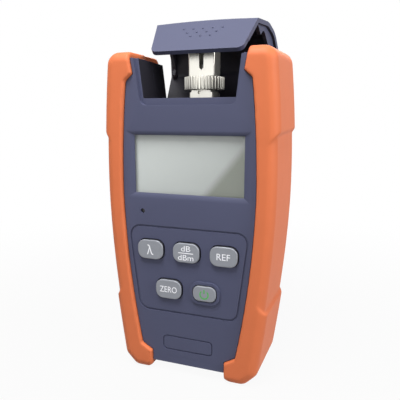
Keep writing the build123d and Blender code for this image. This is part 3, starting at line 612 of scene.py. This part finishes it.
def studio_paper():
    """Matt white paper, which fades into the white background away from the meter."""
    material, tree, shader = start_material("studio_paper", Roughness=0.9)
    shader.inputs["Base Color"].default_value = linear("#909090")
    glow = add_node(tree, "ShaderNodeEmission", Strength=1.0, Color=(1, 1, 1, 1))
    place = add_node(tree, "ShaderNodeTexCoord")
    position = {0: place.outputs["Object"]}
    distance = add_node(tree, "ShaderNodeVectorMath", position, operation="LENGTH")
    fade = add_node(
        tree,
        "ShaderNodeMapRange",
        {"Value": distance.outputs["Value"]},
        interpolation_type="SMOOTHSTEP",
        From_Min=FLOOR_FADE_START,
        From_Max=FLOOR_FADE_END,
        To_Min=FLOOR_WHITE_NEAR,
        To_Max=1.0,
    )
    seen = rays_to_the_eye(tree)
    share = add_node(tree, "ShaderNodeMath", {0: seen, 1: fade.outputs[0]}, operation="MULTIPLY")
    mix = add_node(
        tree,
        "ShaderNodeMixShader",
        {0: share.outputs[0], 1: shader.outputs[0], 2: glow.outputs[0]},
    )
    output = next(node for node in tree.nodes if node.type == "OUTPUT_MATERIAL")
    tree.links.new(mix.outputs[0], output.inputs["Surface"])
    return material


def studio_air():
    """A dim even fill that looks white where it is seen."""
    world = bpy.data.worlds.new("studio_air")
    world.use_nodes = True
    sky = world.node_tree
    sky.nodes.clear()
    fill = add_node(sky, "ShaderNodeBackground", Color=(1, 1, 1, 1), Strength=AIR_STRENGTH)
    white = add_node(sky, "ShaderNodeBackground", Color=(1, 1, 1, 1), Strength=1.0)
    mix = add_node(
        sky,
        "ShaderNodeMixShader",
        {0: rays_to_the_eye(sky), 1: fill.outputs[0], 2: white.outputs[0]},
    )
    add_node(sky, "ShaderNodeOutputWorld", {"Surface": mix.outputs[0]})
    return world


# Operators


class StageOperator(bpy.types.Operator):
    """Sets up the camera, the floor, the air and the lamps"""

    bl_idname = "power_meter.stage"
    bl_label = "Studio"

    def execute(self, context):
        scene = context.scene
        scene.view_settings.view_transform = "Standard"
        bpy.ops.object.camera_add(
            location=mm(*CAMERA_PLACE),
            rotation=[math.radians(angle) for angle in CAMERA_TURN],
        )
        camera = context.object
        camera.data.lens = CAMERA_LENS
        camera.data.sensor_width = CAMERA_SENSOR
        camera.data.clip_start = CAMERA_NEAR
        scene.camera = camera

        bpy.ops.mesh.primitive_plane_add(size=FLOOR_SIDE, location=(0, 0, 0))
        floor = context.object
        floor.name = "studio_floor"
        floor.data.materials.append(studio_paper())
        scene.world = studio_air()

        for name, place, power, size in LAMPS:
            bpy.ops.object.light_add(type="AREA", location=place)
            lamp = context.object
            lamp.name = name
            lamp.data.energy = power
            lamp.data.size = size
            lamp.rotation_mode = "QUATERNION"
            sight = Vector(LAMP_TARGET) - lamp.location
            lamp.rotation_quaternion = sight.to_track_quat("-Z", "Y")
        return {"FINISHED"}


class InnerPiecesOperator(bpy.types.Operator):
    """Gives the pieces that stay as drawn in the frame their finishes"""

    bl_idname = "power_meter.inner_pieces"
    bl_label = "Inner pieces"

    def execute(self, context):
        colours = context.scene.meter_colours
        finishes = {
            "shell_plastic": moulded_abs("moulded_abs", colours.shell),
            "bumper_rubber": soft_elastomer(colours.bumper),
            "clear_window": window_acrylic(),
            # The display's colours carry a painted highlight and a painted dark reflection
            "display_glass": reflective_display(colours.display_lit, colours.display_painted_reflection),
            "key_rubber": silicone_rubber("key_silicone", linear("#2A2B30")),
            "key_silicone": silicone_rubber("mat_silicone", linear("#6A6A6C")),
            "port_metal": plated_metal("satin_nickel", colours.metal, 0.34),
            "ceramic": plain_plastic("zirconia_ceramic", linear("#F0EFEA"), 0.2),
            "steel": plated_metal("screw_steel", linear("#B0B0B2"), 0.35),
            "white_plastic": plain_plastic("white_nylon", linear("#E4E4E0"), 0.5),
            "board_laminate": plain_plastic("solder_mask", linear("#1E6A34"), 0.35),
            "switch_plastic": plain_plastic("switch_nylon", linear("#1A1A1A"), 0.5),
            "smoked_lens": plain_plastic("smoked_acrylic", linear("#17171C"), 0.15),
            "detector_metal": plated_metal("gold_plate", linear("#D8C080"), 0.25),
            "cell_metal": plated_metal("cell_can", linear("#B4B4B4"), 0.35),
            "spring_metal": plated_metal("contact_nickel", linear("#C8C8C4"), 0.3),
        }
        slots = {row["node"]: row["material_slot"] for row in frame["record"]["subparts"]}
        for name, node in frame["nodes"].items():
            paint(node, finishes[slots[name]])
        return {"FINISHED"}


def finish_of(node):
    """The material that a frame node was painted with."""
    return frame["nodes"][node].data.materials[0]


def paint_hollow_shade(piece, low, high, hollow_painted_shade):
    """Paints near-black painted shade on the faces in a box that look to its middle."""
    middle = (low + high) / 2
    piece.data.materials.append(hollow_painted_shade)
    for face in piece.data.polygons:
        inside = all(low[axis] <= face.center[axis] <= high[axis] for axis in range(3))
        if inside and face.normal.dot(middle - face.center) > 0:
            face.material_index = 1


class CasingOperator(bpy.types.Operator):
    """Models the two halves of the casing and the battery door with softened edges"""

    bl_idname = "power_meter.casing"
    bl_label = "Casing"

    def execute(self, context):
        edge = context.scene.meter_sizes.casing_edge
        # Near-black painted shade for the hollow of the port bay
        hollow_painted_shade = moulded_abs("painted_shade_abs", context.scene.meter_colours.hollow_painted_shade)
        for node, body in (
            ("front_shell", "meter"),
            ("rear_shell", "meter"),
            ("battery_door", "door"),
        ):
            piece = dressed_copy(node, f"{node}_skin", edge)
            finish_piece(piece, body, finish_of(node), (node,))
            if body == "meter":
                paint_hollow_shade(piece, mm(*BAY_LOW), mm(*BAY_HIGH), hollow_painted_shade)
        return {"FINISHED"}


class CoverOperator(bpy.types.Operator):
    """Models the flip-up port cover with softened edges"""

    bl_idname = "power_meter.cover"
    bl_label = "Port cover"

    def execute(self, context):
        edge = context.scene.meter_sizes.casing_edge
        piece = dressed_copy("port_cover", "port_cover_skin", edge)
        finish_piece(piece, "cover", finish_of("port_cover"), ("port_cover",))
        # The inside of the cover gets the same near-black painted shade
        paint_hollow_shade(piece, *corners_of("port_cover"), bpy.data.materials["painted_shade_abs"])
        return {"FINISHED"}


class BumperOperator(bpy.types.Operator):
    """Models the two soft bumpers, with the blurred edges of moulded rubber"""

    bl_idname = "power_meter.bumpers"
    bl_label = "Bumpers"

    def execute(self, context):
        cell = context.scene.meter_sizes.bumper_cell
        for node in ("left_bumper", "right_bumper"):
            piece = dressed_copy(node, f"{node}_skin", 0)
            keep_modifier(piece, "REMESH", mode="VOXEL", voxel_size=cell)
            keep_modifier(piece, "SMOOTH", factor=0.5, iterations=4)
            finish = finish_of(node)
            finish_piece(piece, "meter", finish, (node,), smooth_angle=60)
        return {"FINISHED"}


class PortOperator(bpy.types.Operator):
    """Models the port's base, coupling ring, adapter and sleeve with broken edges"""

    bl_idname = "power_meter.port"
    bl_label = "Port and adapter"

    def execute(self, context):
        edge = context.scene.meter_sizes.port_edge
        for node, body, slot in (
            ("port_base", "meter", "port_metal"),
            ("adapter_body", "meter", "port_metal"),
            ("coupling_ring", "ring", "port_metal"),
            ("adapter_sleeve", "meter", "ceramic"),
        ):
            piece = dressed_copy(node, f"{node}_skin", edge, sharp_angle=50)
            finish_piece(piece, body, finish_of(node), (node,))
        return {"FINISHED"}


def model_key(name, corner, edge, cap_paint):
    """One rubber key: a dark flange behind the casing, whose dark rubber is real and also stands
    in for the shade in the gap round the cap, and a painted cap with a rounded rim.
    """
    node = f"key_{name}"
    low, high = corners_of(node)
    flange_front = high.y - KEY_FLANGE_THICKNESS
    piece = add_block(f"{name}_key_cap", (low.x, flange_front, low.z), high)
    with editing(piece, "EDGE"):
        pick_edges(piece, runs_along(1))
        bpy.ops.mesh.bevel(offset=corner + KEY_FLANGE, segments=10, affect="EDGES")
    with editing(piece, "FACE"):
        pick_faces(piece, faces_front)
        bpy.ops.mesh.inset(thickness=KEY_FLANGE)
        rise = (0, low.y - flange_front, 0)
        bpy.ops.mesh.extrude_region_move(TRANSFORM_OT_translate={"value": rise})
        bpy.ops.mesh.select_mode(type="EDGE")
        bpy.ops.mesh.region_to_loop()
        bpy.ops.mesh.bevel(offset=edge, segments=4, affect="EDGES")
    finish_piece(piece, f"{name}_key", finish_of(node), (node,))
    piece.data.materials.append(cap_paint)
    painted_from = corners_of("front_shell")[0].y + CAP_PAINT_DEPTH
    for face in piece.data.polygons:
        if face.center.y < painted_from:
            face.material_index = 1


class KeyOperator(bpy.types.Operator):
    """Models the five rubber keys"""

    bl_idname = "power_meter.keys"
    bl_label = "Keys"

    def execute(self, context):
        edge = context.scene.meter_sizes.key_edge
        cap_paint = sprayed_silicone(context.scene.meter_colours.key)
        for name in KEY_NAMES:
            corner = POWER_KEY_CORNER if name == "power" else KEY_CORNER
            model_key(name, corner, edge, cap_paint)
        return {"FINISHED"}


def key_face(name):
    """The middle of a key cap's face."""
    low, high = corners_of(f"key_{name}")
    return Vector(((low.x + high.x) / 2, low.y, (low.z + high.z) / 2))


def print_legend(name, key, words, width, height, lift, thickness, ink):
    """A printed word of a given size on a key, lifted above or below the key's middle."""
    middle = key_face(key) + Vector((0, 0, lift))
    bpy.ops.object.select_all(action="DESELECT")
    bpy.ops.object.text_add(rotation=(math.radians(90), 0, 0))
    piece = bpy.context.object
    piece.name = name
    piece.data.body = words
    # Any thickness does here, because the scale below sets it
    piece.data.extrude = 0.1
    piece.data.resolution_u = 6
    bpy.ops.object.convert(target="MESH")
    bpy.ops.object.transform_apply(location=True, rotation=True, scale=True)
    corners = [vertex.co for vertex in piece.data.vertices]
    low = Vector([min(corner[axis] for corner in corners) for axis in range(3)])
    high = Vector([max(corner[axis] for corner in corners) for axis in range(3)])
    size = high - low
    scale = Vector((width / size.x, 2 * thickness / size.y, height / size.z))
    piece.scale = scale
    piece.location = middle - (low + high) / 2 * scale
    work_on(piece)
    bpy.ops.object.transform_apply(location=True, rotation=True, scale=True)
    with editing(piece, "EDGE"):
        bpy.ops.mesh.select_all(action="SELECT")
        bpy.ops.mesh.remove_doubles(threshold=LEGEND_MERGE_DISTANCE)
    finish_piece(piece, f"{key}_key", ink)


class LegendOperator(bpy.types.Operator):
    """Prints the legends on the keys and the symbol on the power key"""

    bl_idname = "power_meter.legends"
    bl_label = "Legends"

    def execute(self, context):
        colours = context.scene.meter_colours
        sizes = context.scene.meter_sizes
        white = screen_ink("legend_ink", colours.legend)
        green = screen_ink("power_ink", colours.power_symbol)
        thickness = sizes.legend_thickness
        for name, key, words, width, height, lift in LEGENDS:
            print_legend(name, key, words, width * MM, height * MM, lift * MM, thickness, white)

        middle = key_face("units")
        half = mm(UNITS_BAR_HALF_LENGTH, 0, UNITS_BAR_HALF_WIDTH) + Vector((0, thickness, 0))
        bar = add_block("units_legend_bar", middle - half, middle + half)
        with editing(bar, "EDGE"):
            pick_edges(bar, runs_along(1))
            bpy.ops.mesh.bevel(offset=UNITS_BAR_CORNER * MM, segments=2, affect="EDGES")
        finish_piece(bar, "units_key", white)

        # The symbol's ring: one face spun round from the right end of the opening at its top
        middle = key_face("power") - mm(0, 0, SYMBOL_DROP)
        radius = sizes.symbol_radius
        stroke = sizes.symbol_stroke
        start = (math.pi - SYMBOL_OPENING) / 2
        bpy.ops.object.select_all(action="DESELECT")
        bpy.ops.mesh.primitive_plane_add(
            size=1,
            location=middle + radius * Vector((math.cos(start), 0, math.sin(start))),
            rotation=(0, -start, 0),
        )
        ring = context.object
        ring.name = "power_symbol_ring"
        ring.scale = (stroke, 2 * thickness, 1)
        bpy.ops.object.transform_apply(location=True, rotation=True, scale=True)
        with editing(ring, "FACE"):
            bpy.ops.mesh.select_all(action="SELECT")
            bpy.ops.mesh.spin(
                steps=SYMBOL_STEPS,
                angle=SYMBOL_OPENING - 2 * math.pi,
                center=middle,
                axis=(0, 1, 0),
            )
            bpy.ops.mesh.select_all(action="SELECT")
            bpy.ops.mesh.normals_make_consistent(inside=False)
        finish_piece(ring, "power_key", green)

        # The symbol's bar: from a quarter of the radius above the middle to just past the ring
        half = Vector((stroke / 2, thickness, radius / 2))
        top = middle + Vector((0, 0, radius * 0.75))
        bar = add_block("power_symbol_bar", top - half, top + half)
        with editing(bar, "EDGE"):
            pick_edges(bar, runs_along(1))
            bpy.ops.mesh.bevel(offset=stroke / 3, segments=3, affect="EDGES")
        finish_piece(bar, "power_key", green)
        return {"FINISHED"}


class ScrewOperator(bpy.types.Operator):
    """Models one housing screw with its cross recess, and copies it to the other corners"""

    bl_idname = "power_meter.screws"
    bl_label = "Housing screws"

    def execute(self, context):
        first = f"housing_screw_{SCREW_CORNERS[0]}"
        low, high = corners_of(first)
        middle = Vector(((low.x + high.x) / 2, high.y, (low.z + high.z) / 2))
        edge = context.scene.meter_sizes.port_edge
        screw = dressed_copy(first, f"{first}_crossed", edge, sharp_angle=50)
        for half_x, half_z in (
            (CROSS_HALF_LENGTH, CROSS_HALF_WIDTH),
            (CROSS_HALF_WIDTH, CROSS_HALF_LENGTH),
        ):
            half = mm(half_x, CROSS_DEPTH, half_z)
            cutter = add_block("cross_cutter", middle - half, middle + half)
            with editing(cutter, "FACE"):
                pick_faces(cutter, faces_front)
                bpy.ops.transform.resize(value=(CROSS_TAPER, 1, CROSS_TAPER))
            keep_modifier(screw, "BOOLEAN", operation="DIFFERENCE", object=cutter)
            bpy.data.objects.remove(cutter)
        finish_piece(screw, "meter", finish_of(first), (first,))
        for corner in SCREW_CORNERS[1:]:
            node = f"housing_screw_{corner}"
            work_on(screw)
            bpy.ops.object.duplicate()
            piece = context.object
            piece.name = f"{node}_crossed"
            piece.location = corners_of(node)[0] - low
            bpy.ops.object.transform_apply(location=True, rotation=True, scale=True)
            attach(piece, "meter")
            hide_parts(node)
        return {"FINISHED"}


PIECE_OPERATORS = (
    InnerPiecesOperator,
    CasingOperator,
    CoverOperator,
    BumperOperator,
    PortOperator,
    KeyOperator,
    LegendOperator,
    ScrewOperator,
    StageOperator,
)


class MeterPanel(bpy.types.Panel):
    """Colours, sizes and pieces of the meter"""

    bl_idname = "VIEW3D_PT_power_meter"
    bl_label = "Power Meter"
    bl_space_type = "VIEW_3D"
    bl_region_type = "UI"
    bl_category = "Power Meter"

    def draw(self, context):
        for settings in (context.scene.meter_colours, context.scene.meter_sizes):
            column = self.layout.column(align=True)
            for name in settings.__annotations__:
                column.prop(settings, name)
        for operator in PIECE_OPERATORS:
            self.layout.operator(operator.bl_idname)


CLASSES = (MeterColours, MeterSizes, *PIECE_OPERATORS, MeterPanel)


def register():
    for item in CLASSES:
        bpy.utils.register_class(item)
    bpy.types.Scene.meter_colours = PointerProperty(type=MeterColours)
    bpy.types.Scene.meter_sizes = PointerProperty(type=MeterSizes)


def unregister():
    del bpy.types.Scene.meter_sizes
    del bpy.types.Scene.meter_colours
    for item in reversed(CLASSES):
        bpy.utils.unregister_class(item)


def main():
    """Builds the meter and its studio."""
    register()
    for operator in PIECE_OPERATORS:
        group, name = operator.bl_idname.split(".")
        getattr(getattr(bpy.ops, group), name)()


if __name__ == "__main__":
    main()
